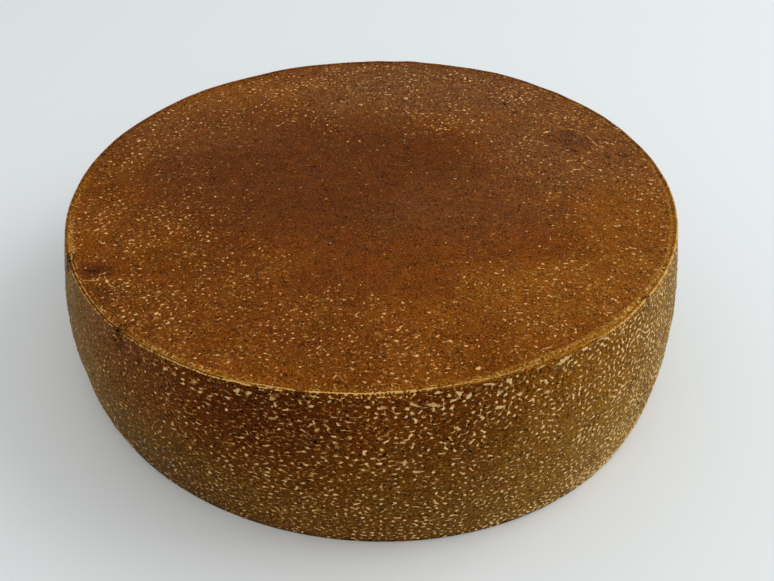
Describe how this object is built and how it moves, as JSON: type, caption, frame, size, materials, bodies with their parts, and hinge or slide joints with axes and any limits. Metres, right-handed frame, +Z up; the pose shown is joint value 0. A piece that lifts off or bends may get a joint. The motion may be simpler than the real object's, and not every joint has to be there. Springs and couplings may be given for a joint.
{
  "type": "cheese wheel",
  "caption": "Whole uncut wheel of washed-rind mountain cheese: a low round drum with a bulging side, a sharp folded rim and a speckled brown rind.",
  "frame": {"origin": "on the flat underside, below the middle of the widest girth", "axes": "+Z up out of the top face, -Y out of the front of the side, +X towards the thicker edge"},
  "size_m": [0.3125, 0.3115, 0.0939],
  "materials": {
    "rind": "satin orange-brown washed rind, olive-brown on the side, with fine cream specks and a pale worn rim"
  },
  "bodies": {
    "root": {"cheese_wheel": "rind"}
  },
  "joints": []
}
